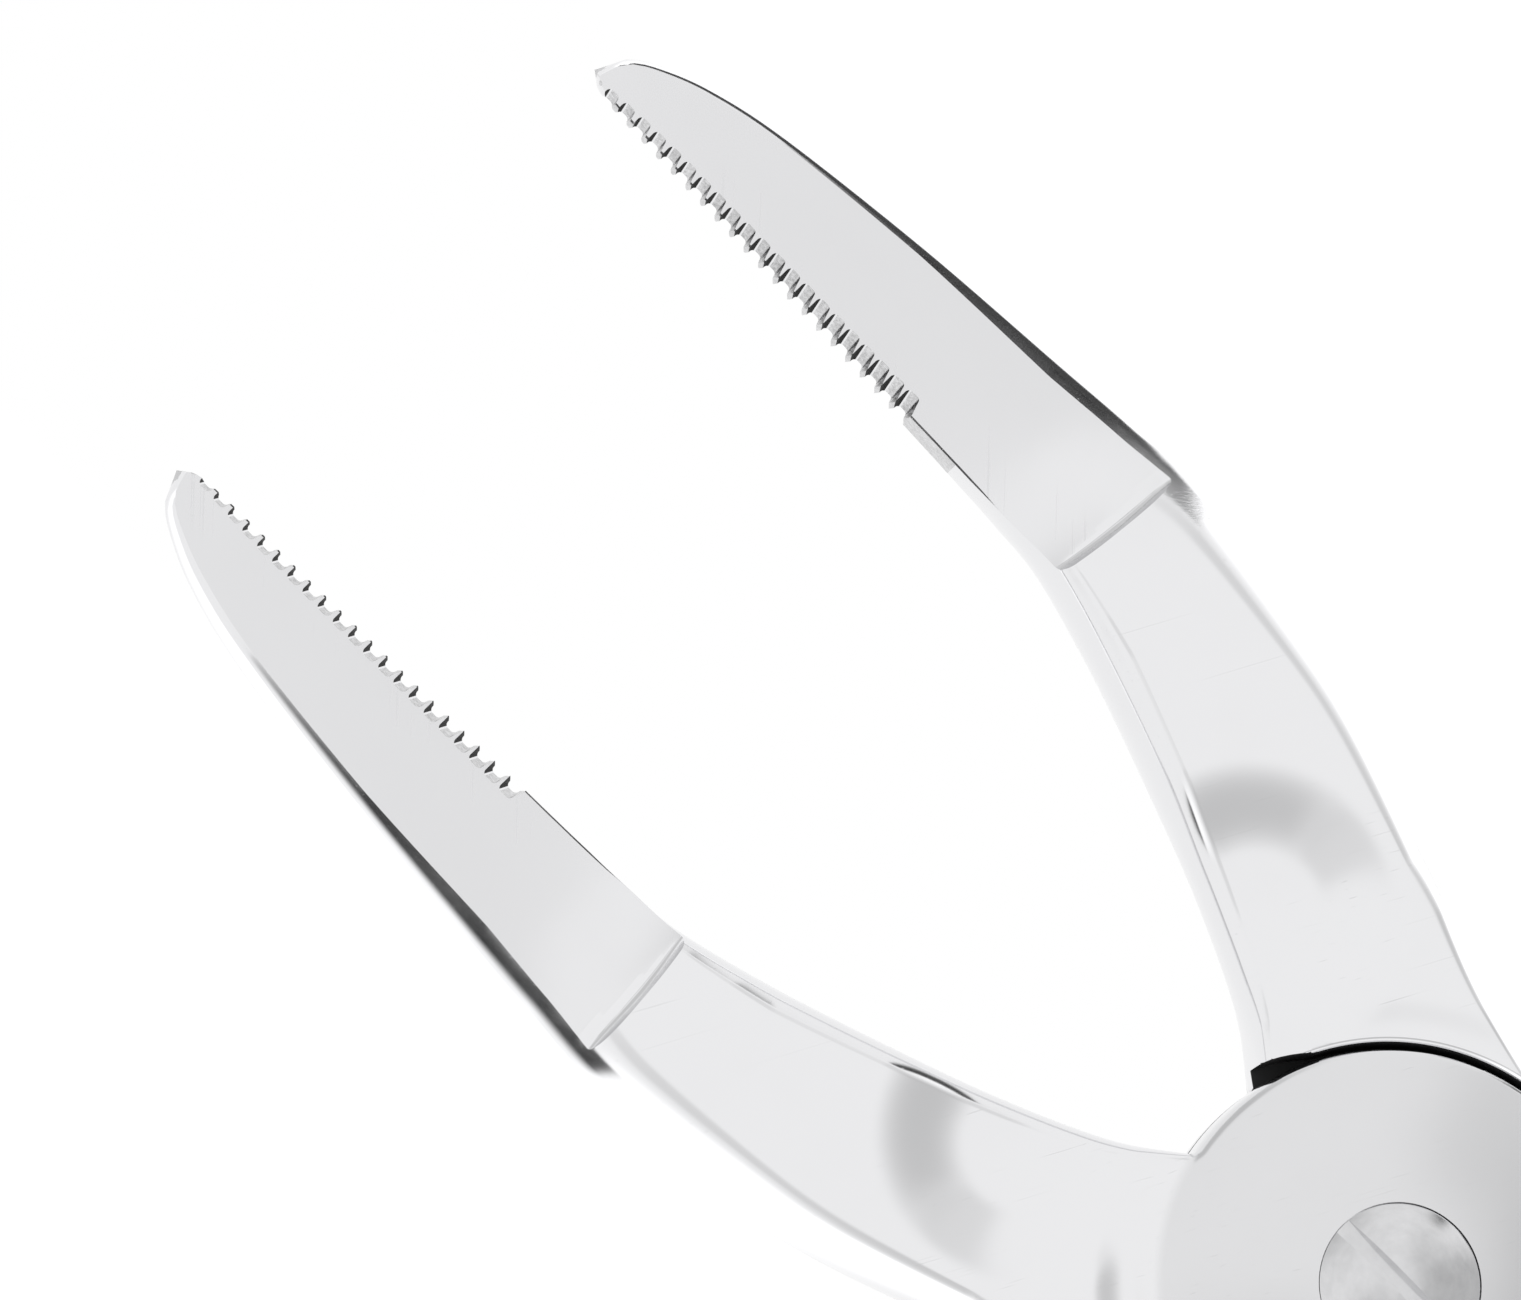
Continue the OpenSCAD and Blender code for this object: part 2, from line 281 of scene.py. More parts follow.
HOLLOW_AT = (20.5, 9.5)  # the round hollow in the arm beside the joint
HOLLOW_RADIUS = 8.75
HOLLOW_DEPTH = 0.42
HOLLOW_RIM = 0.22        # height of the crease at the hollow's boundary

# Half thickness of the blank along X.
SWELL = np.array([
    (-118, HANDLE_HALF), (-46, HANDLE_HALF), (-36, 3.9), (-27, 3.2), (-20, ARM_HALF), (38, ARM_HALF),
    (41, 2.95), (45, 2.8), (50, 2.5), (60, 2.2), (70, 1.75), (77, 1.3), (81, 1.0),
])
# Width of the rounded border on each side along X, and how square it is (2 is an ellipse).
SPINE_BORDER = np.array([
    (-118, 4.6), (-40, 4.6), (-24, 2.6), (-16, 2), (0, 0.7), (8, 1.1), (16, 1.7), (24, 2.2),
    (30, 2.7), (36, 3.3), (41, 3.8), (45, 3.8), (50, 3.4), (60, 2.5), (70, 1.8), (81, 1.2),
])
GRIP_BORDER = np.array([
    (-118, 4.6), (-40, 4.6), (-24, 2.6), (-16, 1.2), (-12, 0.5), (12, 0.5), (18, 1.4), (36, 1.9),
    (43, 1.3), (49, 0.3), (81, 0.3),
])
SQUARENESS = np.array([
    (-118, 2.2), (-30, 2.3), (-16, 2.6), (-13, 4), (13, 4), (16, 2.4), (38, 2.2), (42, 2), (81, 2),
])


def sides_of_lever(stations=720):
    """The lever's two edges seen from above, paired point by point from the jaw's tip, past the
    boss, to the handle's end. Each is the arm's curve, then an arc of the boss, then the
    handle's. The spine's points run ahead of the grip's from the blade's root to the boss."""
    count = int(stations * 0.42)
    inner, outer = curve(JAW_INNER), curve(JAW_OUTER)[::-1]
    inner_x = TIP[0] + (THROAT[0] - TIP[0]) * np.linspace(0, 1, count) ** 0.8
    outer_x = inner_x - THROAT[0] * np.clip((46 - inner_x) / 32.6, 0, 1)
    grip = np.column_stack([inner_x, np.interp(inner_x, inner[:, 0], inner[:, 1])])
    spine = np.column_stack([outer_x, np.interp(outer_x, outer[:, 0], outer[:, 1])])
    grip[0], spine[0] = (80.25, 16.7), (80.25, 16.75)
    turn = np.radians(np.linspace(0, 90 + BOSS_START, int(stations * 0.16))[1:-1])
    start = math.radians(BOSS_START)
    grip_arc = BOSS_RADIUS * np.column_stack([np.cos(start - turn), np.sin(start - turn)])
    spine_arc = BOSS_RADIUS * np.column_stack([-np.sin(turn), np.cos(turn)])
    handle_low = respace(curve(HANDLE_OUTER)[::-1], count)
    handle_high = respace(curve(HANDLE_INNER), count)
    return np.vstack([grip, grip_arc, handle_low]), np.vstack([spine, spine_arc, handle_high])


def soften(path, at, reach, window=15):
    """Runs a path's corner near one point into a short bend, by averaging along it."""
    near = np.exp(-((np.linalg.norm(path - np.array(at), axis=1) / reach) ** 2))[:, None]
    kernel = np.hanning(window + 2)[1:-1]
    kernel /= kernel.sum()
    side = window // 2
    padded = np.vstack([np.repeat(path[:1], side, 0), path, np.repeat(path[-1:], side, 0)])
    mean = np.stack([np.convolve(padded[:, k], kernel, "valid") for k in range(2)], axis=1)
    return path * (1 - near) + mean * near


def distance_to(path, points):
    """Distance from each point to a path, and the X of the path's nearest point."""
    start = path[None, :-1]
    span = path[1:] - path[:-1]
    square = (span**2).sum(1) + 1e-12
    best, near_x = [], []
    for p in np.array_split(points, len(points) // 4000 + 1):
        dx, dy = p[:, None, 0] - start[..., 0], p[:, None, 1] - start[..., 1]
        t = np.clip((dx * span[:, 0] + dy * span[:, 1]) / square, 0, 1)
        x = start[..., 0] + t * span[:, 0]
        y = start[..., 1] + t * span[:, 1]
        d = (p[:, None, 0] - x) ** 2 + (p[:, None, 1] - y) ** 2
        rows, k = np.arange(len(p)), d.argmin(1)
        best.append(np.sqrt(d[rows, k]))
        near_x.append(x[rows, k])
    return np.concatenate(best), np.concatenate(near_x)


def border(distance, near_x, widths):
    """Height fraction of a rounded border: a superellipse over the border's width, then level."""
    width = np.interp(near_x, widths[:, 0], widths[:, 1])
    n = np.interp(near_x, SQUARENESS[:, 0], SQUARENESS[:, 1])
    inward = 1 - np.clip(distance / width, 0, 1)
    return (1 - inward**n) ** (1 / n)


def hollow_depth(x, y):
    """The shallow hollow by the joint: a faint crease at its round boundary, then a soft slope
    that is steepest a quarter of the way in, and a nearly level floor."""
    q = np.hypot(x - HOLLOW_AT[0], y - HOLLOW_AT[1]) / HOLLOW_RADIUS
    return HOLLOW_DEPTH * (1 - smooth_step(q, 0.35, 1.0)) + HOLLOW_RIM * np.clip(1 - q, 0, 1)


def boss_face(x, y, half):
    """Height of the side with the boss: the arm, its hollow, and a spherical dome at the joint."""
    r = np.hypot(x, y)
    dome = DOME_TOP - r**2 / (2 * DOME_SPHERE)
    share = smooth_step(r, 17.5, 13.4)
    return (half - hollow_depth(x, y)) * (1 - share) + dome * share


def shoulder_face(x, y, half):
    """Height of the other side: the arm and its hollow, easing down a little to the shoulder."""
    r = np.hypot(x, y)
    return half - hollow_depth(x, y) - SHOULDER_DROP * (1 - smooth_step(r, 14.4, 16.8))


def border_reach(path, widths):
    """Width of a border at each point of an edge."""
    return np.interp(path[:, 0], widths[:, 0], widths[:, 1])


def border_rise(gap, near_x, jaw, handle):
    """Height fraction beside an edge, which has one border along the jaw and one along the handle."""
    return np.where(near_x < 0, border(gap, near_x, handle), border(gap, near_x, jaw))


def lever_blank(name, edge=14, middle=26):
    """Skins the lever with closed rings, one to a station: across the boss side from one edge to
    the other, and back across the shoulder side. Columns crowd towards the edges, where the
    border rounds over. Height is the face's height times both borders' fractions."""
    side_a, side_b = sides_of_lever()
    side_a = soften(side_a, (0, -BOSS_RADIUS), 5)
    side_b = soften(side_b, (0, BOSS_RADIUS), 5)
    length = np.linalg.norm(side_b - side_a, axis=1)[:, None]
    past_jaw = (np.hypot(*side_a.T) < BOSS_RADIUS + 0.3) | (side_a[:, 0] < 0)
    reach_a = np.where(past_jaw, border_reach(side_a, SPINE_BORDER), border_reach(side_a, GRIP_BORDER))
    reach_b = border_reach(side_b, SPINE_BORDER)
    reach_a = np.minimum(reach_a[:, None], 0.42 * length)
    reach_b = np.minimum(reach_b[:, None], 0.42 * length)
    ease = 1 - np.cos(np.linspace(0, 1, edge) * math.pi / 2) ** 1.2
    from_a = reach_a * ease
    from_b = length - (reach_b * ease)[:, ::-1]
    between = np.linspace(0, 1, middle + 2)[1:-1]
    centre = from_a[:, -1:] * (1 - between) + from_b[:, :1] * between
    along = np.hstack([from_a, centre, from_b]) / np.maximum(length, 1e-9)
    plan = side_a[:, None, :] * (1 - along[..., None]) + side_b[:, None, :] * along[..., None]
    flat = plan.reshape(-1, 2)
    gap_a, near_a = (part.reshape(along.shape) for part in distance_to(side_a, flat))
    gap_b, near_b = (part.reshape(along.shape) for part in distance_to(side_b, flat))
    gap_a[:, 0] = 0
    gap_b[:, -1] = 0
    rise = border_rise(gap_a, near_a, GRIP_BORDER, SPINE_BORDER)
    rise = rise * border_rise(gap_b, near_b, SPINE_BORDER, GRIP_BORDER)
    x, y = plan[..., 0], plan[..., 1]
    half = np.interp(x, SWELL[:, 0], SWELL[:, 1])
    top = np.dstack([plan, boss_face(x, y, half) * rise])
    under = np.dstack([plan, -shoulder_face(x, y, half) * rise])[:, -2:0:-1]
    rings = np.concatenate([top, under], axis=1)[1:-1]
    stations, around = rings.shape[:2]
    count = stations * around
    tip, end = plan[0].mean(0), plan[-1].mean(0)
    points = np.vstack([rings.reshape(-1, 3), [[*tip, 0], [*end, 0]]])
    faces = ring_faces(stations, around).tolist()
    return mesh_piece(name, points, faces + pole_faces(around, count - around, count, count + 1))


# The line where the grinding wheel plunged into the blade, from the grip to the spine.
PLUNGE = [(42.3, 10), (41.8, 14.4), (41.35, 17.5), (41.1, 20), (40.95, 22.2), (40.7, 24.5), (40.1, 28)]
PLUNGE_WIDTH = 0.5
PLUNGE_TOP = 3.01
RUN_OUT = 0.35         # how far the wheel's curve lifts the facet beside the plunge
FACET_HINGE = 22.6     # distance across the jaw where the facet's height is set


def facet_height(x, y):
    """Height of the ground facet above the blade's middle plane: it falls towards the tip and
    towards the toothed edge, less steeply beside the plunge, and curves up into the plunge."""
    slope = 0.118 - 0.058 * np.exp(-np.clip(x - 42, 0, None) / 4)
    lift = RUN_OUT * np.clip((48 - x) / 6, 0, 1.2) ** 2 * np.clip((FACET_HINGE + 0.6 - y) / 4, 0, 1)
    return 2.3 - 0.0253 * (x - 42) - slope * (FACET_HINGE - y) + lift


def facet_tool(face):
    """The waste of one ground facet: everything outside the facet, from the plunge to past the
    tip. The plunge rises out of the facet ever more steeply, and ends level with the arm."""
    edge = respace(curve(PLUNGE), 90)
    x, y = edge[:, :1], edge[:, 1:]
    t = np.linspace(0, 1, 15)
    foot = facet_height(x, y)
    wall = np.dstack([x + 0.3 - PLUNGE_WIDTH * t, y + 0 * t, foot + (PLUNGE_TOP - foot) * t**1.8])
    back_x = 42.5 + (95 - 42.5) * np.linspace(1, 0, 40)[None, :-1] ** 2 + (x - 42.2)
    back = np.dstack([back_x, y + 0 * back_x, facet_height(back_x, y)])
    over = np.stack([wall[:, -1], back[:, 0]], axis=1)
    over[..., 2] = 8.0
    rings = np.concatenate([wall, over, back], axis=1)
    count, around = rings.shape[:2]
    faces = ring_faces(count, around).tolist()
    faces.append(list(range(around))[::-1])
    faces.append(list(range((count - 1) * around, count * around)))
    return waste("facet_waste", rings.reshape(-1, 3), faces, face)


TEETH = 22
PITCH = 1.2
FIRST_TOOTH = 54.36
GROOVE_LEAN = math.radians(31)
GROOVE_DEPTH = 0.35    # at the blade's middle plane
GROOVE_FLARE = 0.17    # widening towards the tip for each millimetre of height
EDGE_BREAK = 0.16      # width of the broken edge between facet and gripping edge
BREAK_SLOPE = math.radians(30)


def grip_edge(x):
    """Height across the jaw of its gripping edge at a distance along it."""
    return 15.34 + (x - 50) * 0.023


def break_tool(face):
    """The waste that breaks the facet's inner edge: a narrow slope along it."""
    x = np.concatenate([np.linspace(43, 50, 15), np.linspace(52, 84, 9)])
    inner = curve(JAW_INNER)
    edge = np.interp(x, inner[:, 0], inner[:, 1])
    edge = np.where(x > 79, grip_edge(x), edge)
    foot = facet_height(x, edge + EDGE_BREAK) + 0.008
    outside, inside = edge - 0.6, edge + EDGE_BREAK
    drop = (EDGE_BREAK + 0.6) * math.tan(BREAK_SLOPE)
    corners = [(outside, foot - drop), (outside, foot + 6), (inside, foot + 6), (inside, foot)]
    rings = np.stack([np.column_stack([x, y, z]) for y, z in corners], axis=1)
    last = 4 * len(x) - 4
    faces = ring_faces(len(x), 4)[:, ::-1].tolist()
    faces += [[0, 1, 2, 3], [last + 3, last + 2, last + 1, last]]
    return waste("break_waste", rings.reshape(-1, 3), faces, face)


def groove_tools(face):
    """The waste of the row of grooves on one face: an arched slot with a round end, leaning
    outwards from the blade's middle plane and flaring a little on the tip's side. The last
    grooves before the tip are shallower."""
    angle = np.linspace(0, math.pi / 2, 9)
    steep = np.column_stack([0.2 + 0.27 * np.cos(angle), 0.23 + 0.27 * np.sin(angle)])
    easy = np.column_stack([-0.02 - 0.26 * np.sin(angle), 0.24 + 0.26 * np.cos(angle)])[1:-1]
    section = np.vstack([steep, easy, [(-0.34, 0.1), (-0.52, -0.35), (-0.6, -1.6), (0.5, -1.6)]])
    points, faces = [], []
    count = len(section)
    for tooth in range(TEETH):
        x = FIRST_TOOTH + tooth * PITCH
        floor = grip_edge(x) + GROOVE_DEPTH - 0.5 - 0.35 * (max(0, tooth - 15) / 6) ** 2
        base = tooth * 2 * count
        for height in (-0.02, 2.6):
            flare = np.where(section[:, 0] > 0, GROOVE_FLARE * height, 0)
            across = floor + section[:, 1] + height * math.tan(GROOVE_LEAN)
            points.append(np.column_stack([x + section[:, 0] + flare, across, np.full(count, height)]))
        faces += (ring_faces(2, count) + base).tolist()
        faces.append([base + k for k in range(count)][::-1])
        faces.append([base + count + k for k in range(count)])
    return waste("groove_waste", np.vstack(points), faces, face)


def lap_tool():
    """The waste of the lap: a disc under the lap face, flared where it rounds the shoulder's lip."""
    turn = np.radians(np.linspace(262, 180, 9))
    lip = np.column_stack([
        SHOULDER_RADIUS + LIP_ROUND * (1 + np.cos(turn)),
        -ARM_HALF + LIP_ROUND * (1 + np.sin(turn)) + SHOULDER_DROP,
    ])
    profile = [(0, -12), (lip[0, 0], -12), *lip, (SHOULDER_RADIUS, LAP_FACE), (0, LAP_FACE)]
    return revolve("lap_waste", profile, (0, 0, 0), 256)


def bowed_slot(radius, half, start, end):
    """The outline of a slot along an arc, with round ends."""
    a, b = math.radians(start), math.radians(end)
    return np.vstack([
        circle(radius + half, start=start, end=end, sides=24),
        circle(half, (radius * math.cos(b), radius * math.sin(b)), end, end + 180, 18)[1:],
        circle(radius - half, start=end, end=start, sides=24)[1:],
        circle(half, (radius * math.cos(a), radius * math.sin(a)), start + 180, start + 360, 18)[1:-1],
    ])


def spring_tools(turn):
    """The waste of the return spring's round pocket in a lap face, and of the slot that its leg
    lies in, which is wider by the degrees that the lever turns about the leg."""
    ring = [(5, -1), (7.5, -1), (7.5, 1.95), (5, 1.95)]
    slot = np.vstack([
        circle(9.7, start=-8, end=turn + 8, sides=24),
        circle(6, start=turn + 8, end=-8, sides=24),
    ])
    return revolve_ring("pocket_waste", ring, (0, 0, 0)), prism("slot_waste", slot, -1, 1.95)


# The finishes of a lever's faces, in the order of its materials.
POLISHED, FACET, GROOVE, RECESS, EDGE, FLANK = range(6)


def finish_faces(mesh):
    """Gives each face its finish. A face is a facet's where its middle lies on the facet, a
    groove's where its normal is square to the groove's axis, and a groove flank's painted shade
    where it also looks back from the tip. The recess that the lap and the relief left gets
    painted shade."""
    count = len(mesh.polygons)
    centre = np.empty(count * 3)
    normal = np.empty(count * 3)
    mesh.polygons.foreach_get("center", centre)
    mesh.polygons.foreach_get("normal", normal)
    x, y, z = (centre.reshape(-1, 3) / MM).T
    nx, ny, nz = normal.reshape(-1, 3).T
    finish = np.full(count, POLISHED, np.int32)
    level = np.abs(nz)
    on_facet = (x > 42) & (np.abs(np.abs(z) - facet_height(x, y)) < 0.03) & (level > 0.9)
    finish[on_facet] = FACET
    outward = level * np.sign(nz * z)
    off_axis = np.abs(ny * math.sin(GROOVE_LEAN) + outward * math.cos(GROOVE_LEAN))
    near_edge = (x > 53) & (x < 80.5) & (y < grip_edge(x) + 2.2) & ~on_facet
    finish[near_edge & (off_axis < 0.03)] = GROOVE
    # Painted shade: groove flanks that look back from the tip get a near-black finish.
    finish[near_edge & (off_axis < 0.3) & (nx < -0.55)] = FLANK
    finish[(x > 50) & (level < 0.5) & (np.abs(y - grip_edge(x)) < 0.06)] = EDGE
    in_shoulder = np.hypot(x, y) < SHOULDER_RADIUS + 0.02
    relieved = np.hypot(x - RELIEF_AT[0], y - RELIEF_AT[1]) < RELIEF_RADIUS + 0.02
    # Painted shade: the recess that the lap and the relief left gets a near-black finish.
    finish[(in_shoulder | relieved) & (z < LAP_FACE + 0.01) & (z > -2.95)] = RECESS
    mesh.polygons.foreach_set("material_index", finish)


def make_lever(name, flipped):
    """Cuts a lever from the blank: ground facets, broken and grooved edge, lap, bores, spring
    pocket, and the stop pin's hole or slot. The flipped lever is then turned over about X."""
    piece = lever_blank(name)
    cut(piece, facet_tool(1), facet_tool(-1))
    cut(piece, break_tool(1), break_tool(-1))
    cut(piece, groove_tools(1), groove_tools(-1), lap_tool())
    cut(piece, prism("relief_waste", circle(RELIEF_RADIUS, RELIEF_AT), -12, LAP_FACE))
    bore = SCREW_BORE + (BORE_CLEARANCE if flipped else 0)
    cut(piece, prism("bore_waste", circle(bore), -12, 12))
    seat = prism("seat_waste", circle(HEAD_SEAT), SEAT_FLOOR if flipped else ARM_HALF, 12)
    cut(piece, seat, *spring_tools(JAW_TRAVEL if flipped else 0))
    if flipped:
        cut(piece, prism("stop_waste", bowed_slot(STOP_TRACK, 1.1, 100, 100 + JAW_TRAVEL), -1, 1.7))
    else:
        cut(piece, prism("stop_waste", circle(1, STOP_AT), -1, 1.6))
    cut(piece, prism("rivet_waste", circle(1.5, (RIVET[0], RIVET[1]), sides=48), -12, 12))
    finish_faces(piece.data)
    points = vertices(piece) * ((1, -1, -1) if flipped else 1) + PIVOT * MM
    piece.data.vertices.foreach_set("co", points.ravel())
    return shade(piece, 22)


front = make_lever("front_lever_forging", False)
back = make_lever("back_lever_forging", True)

# ---------------------------------------------------------------------------------------------
# Hardware
# ---------------------------------------------------------------------------------------------


def corner(radius, height, bevel):
    """Three points that round a corner of a profile, turning from level to upright: the sign of
    the bevel says which way up the corner is."""
    b = abs(bevel)
    return [(radius - b, height), (radius - 0.3 * b, height - 0.3 * bevel), (radius, height - bevel)]


def dome(radius, base, rise, steps=14):
    """Profile of a domed head from its rim up to the axis: an arc of a circle."""
    ball = (radius**2 + rise**2) / (2 * rise)
    r = radius * np.cos(np.linspace(0, math.pi / 2, steps))
    return [(a, base + rise - ball + math.sqrt(ball**2 - a**2)) for a in r[:-1]] + [(0, base + rise)]


def bevel(piece, width, segments=3):
    """Breaks the sharp edges of a piece."""
    step = piece.modifiers.new("bevel", "BEVEL")
    step.width = width * MM
    step.segments = segments
    step.limit_method = "ANGLE"
    step.angle_limit = math.radians(40)
    return cut(piece)


def headed_pin(name, at, head_base):
    """A pin through a handle: peened flush below, with a low domed head above."""
    profile = [
        (0, -4.38), (1.2, -4.38), (1.5, -4.2), (1.5, head_base), (2.75, head_base),
        (3, head_base + 0.12), *dome(2.98, head_base + 0.16, 0.64),
    ]
    return revolve(name, profile, (at[0], at[1], PIVOT[2]), 96)


def sweep(name, path, radius, sides=16):
    """A round wire along a path that never runs upright, with flat ends."""
    along = np.gradient(path, axis=0)
    along /= np.linalg.norm(along, axis=1)[:, None]
    side = np.cross(along, (0, 0, 1))
    side /= np.linalg.norm(side, axis=1)[:, None]
    up = np.cross(side, along)
    angle = (np.arange(sides) * 2 * math.pi / sides)[None, :, None]
    rings = path[:, None] + radius * (side[:, None] * np.cos(angle) + up[:, None] * np.sin(angle))
    faces = ring_faces(len(path), sides)[:, ::-1].tolist()
    faces.append(list(range(sides)))
    faces.append(list(range((len(path) - 1) * sides, len(path) * sides))[::-1])
    return mesh_piece(name, rings.reshape(-1, 3), faces)


screw = revolve("pivot_screw_turned", [
    (0, -3.9), (2.1, -3.9), (2.35, -3.65), (2.35, -2.6), (3.3, -2.6), (3.48, -2.4), (3.48, 3.02),
    (4.5, 3.02), (4.58, 3.1), *dome(4.58, 3.95, 0.72),
], PIVOT, 160)
driver_slot = [(-6, -0.5), (6, -0.5), (6, 0.5), (-6, 0.5)]
cut(screw, prism("slot_waste", driver_slot, PIVOT[2] + 3.9, PIVOT[2] + 8))
nut = revolve("pivot_nut_turned", [
    (0, -4.4), *corner(4.5, -4.4, -0.25), (4.5, -3.02), (2.4, -3.02), (2.4, -4), (0, -4),
], PIVOT)
holes = [prism("pin_waste", circle(0.6, (2.9 * side, 0), sides=32), -1, 0.8) for side in (-1, 1)]
cut(nut, *holes)
washer = revolve_ring("spring_washer_pressed", [
    (2.5, -3.0), (4.3, -2.9), (4.3, -2.68), (2.5, -2.78),
], PIVOT)
ring = revolve_ring("thrust_ring_pressed", [
    (8.05, -0.18), (9.55, -0.18), (9.6, -0.13), (9.6, 0.13), (9.55, 0.18), (8.05, 0.18),
    (8, 0.13), (8, -0.13),
], PIVOT)

# Two turns of wire, with a leg straight out at each end.
COIL_RADIUS = 6.25
COIL_RISE = 2.44
turns = np.linspace(0, 1, 193)[1:-1]
coil = np.column_stack([
    COIL_RADIUS * np.cos(4 * math.pi * turns),
    -COIL_RADIUS * np.sin(4 * math.pi * turns),
    COIL_RISE * turns - COIL_RISE / 2,
])
legs = [[(9.4, 0, z), (8.4, 0, z), (7.4, 0, z), (6.85, 0, z)] for z in (-COIL_RISE / 2, COIL_RISE / 2)]
spring = sweep("return_spring_wound", np.vstack([legs[0], coil, legs[1][::-1]]) + PIVOT, 0.6)

stop = revolve("stop_pin_turned", [
    (0, -1.6), (0.85, -1.6), (1, -1.45), (1, 1.45), (0.85, 1.6), (0, 1.6),
], PIVOT + np.array([*STOP_AT, 0]), 48)
rivet = headed_pin("latch_rivet_headed", RIVET, 5.85)
stud = headed_pin("catch_stud_headed", (RIVET[0], -RIVET[1]), 6.1)
rivet_washer = revolve_ring("latch_washer_pressed", [
    (1.52, 0), (2.9, 0), (3, 0.08), (2.9, 0.17), (1.52, 0.17),
], (RIVET[0], RIVET[1], 8.8), 96)

LATCH_LENGTH = 32.78     # from the rivet to the catch
LATCH_HALF = 4.0
LATCH_NOTCH = 1.85
LATCH_BASE = 4.6         # above the joint's middle plane
LATCH_FOLD = math.radians(11.4)


def make_latch():
    """A plate with round ends, a rivet hole at one end and a side notch at the other, turned to
    its folded place."""
    far = LATCH_LENGTH
    outline = np.vstack([
        circle(LATCH_HALF, (far, 0), -90, 90, 48),
        circle(LATCH_HALF, (0, 0), 90, 270, 48),
    ])
    piece = prism("latch_plate", outline, 0, 1.2)
    notch = np.vstack([
        [(far + LATCH_NOTCH, 6), (far - LATCH_NOTCH, 6)],
        circle(LATCH_NOTCH, (far, 0), 180, 360, 32),
    ])
    cut(piece, prism("hole_waste", circle(1.56, sides=48), -1, 3), prism("notch_waste", notch, -1, 3))
    bevel(piece, 0.28)
    x, y, z = vertices(piece).T
    c, d = math.cos(LATCH_FOLD), math.sin(LATCH_FOLD)
    place = np.array([RIVET[0], RIVET[1], PIVOT[2] + LATCH_BASE]) * MM
    points = np.column_stack([c * x - d * y, d * x + c * y, z]) + place
    piece.data.vertices.foreach_set("co", points.ravel())
    piece.data.update()
    return piece


plate = make_latch()

# Every piece: its body, the node that it stands for and its material slot.
PIECES = [
    (front, FRONT, "front_lever", "lever_steel"),
    (back, BACK, "back_lever", "lever_steel"),
    (screw, FRONT, "pivot_screw", "screw_steel"),
    (nut, FRONT, "pivot_nut", "screw_steel"),
    (washer, FRONT, "spring_washer", "spring_steel"),
    (ring, FRONT, "thrust_ring", "ring_bronze"),
    (spring, FRONT, "return_spring", "spring_steel"),
    (stop, FRONT, "stop_pin", "screw_steel"),
    (plate, LATCH, "latch", "latch_steel"),
    (rivet_washer, FRONT, "latch_washer", "spring_steel"),
    (rivet, FRONT, "latch_rivet", "screw_steel"),
    (stud, BACK, "catch_stud", "screw_steel"),
]
for piece, body, node, slot in PIECES:
    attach(piece, body)
    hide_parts(node)
    if piece not in (front, back):
        shade(piece)

# ---------------------------------------------------------------------------------------------
# Materials
# ---------------------------------------------------------------------------------------------


class Sock:
    """A shader socket that Python's operators add Math nodes to."""

    def __init__(self, tree, socket):
        self.tree = tree
        self.socket = socket

    def node(self, kind, settings=None, **inputs):
        """Adds a node of a type, with its settings first and then its sockets' values or links.
        A socket is named with _ for a space, or by i and its number."""
        node = self.tree.nodes.new(kind)
        for key, value in (settings or {}).items():
            setattr(node, key, value)
        for key, value in inputs.items():
            numbered = key[0] == "i" and key[1:].isdigit()
            target = node.inputs[int(key[1:]) if numbered else key.replace("_", " ")]
            if isinstance(value, Sock):
                self.tree.links.new(value.socket, target)
            else:
                target.default_value = value
        return node

    def maths(self, operation, a, b=0.0):
        """Adds a Math node on two values or sockets."""
        node = self.node("ShaderNodeMath", {"operation": operation}, i0=a, i1=b)
        return Sock(self.tree, node.outputs[0])

    def __add__(self, other):
        return self.maths("ADD", self, other)

    def __radd__(self, other):
        return self.maths("ADD", other, self)

    def __sub__(self, other):
        return self.maths("SUBTRACT", self, other)

    def __rsub__(self, other):
        return self.maths("SUBTRACT", other, self)

    def __mul__(self, other):
        return self.maths("MULTIPLY", self, other)

    def __rmul__(self, other):
        return self.maths("MULTIPLY", other, self)

    def __truediv__(self, other):
        return self.maths("DIVIDE", self, other)

    def __pow__(self, other):
        return self.maths("POWER", self, other)

    def __abs__(self):
        return self.maths("ABSOLUTE", self)

    def ramp(self, low, high):
        """Rises from 0 at low to 1 at high, level at both ends."""
        node = self.node("ShaderNodeMapRange", {"interpolation_type": "SMOOTHSTEP"},
                         Value=self, From_Min=low, From_Max=high)
        return Sock(self.tree, node.outputs["Result"])


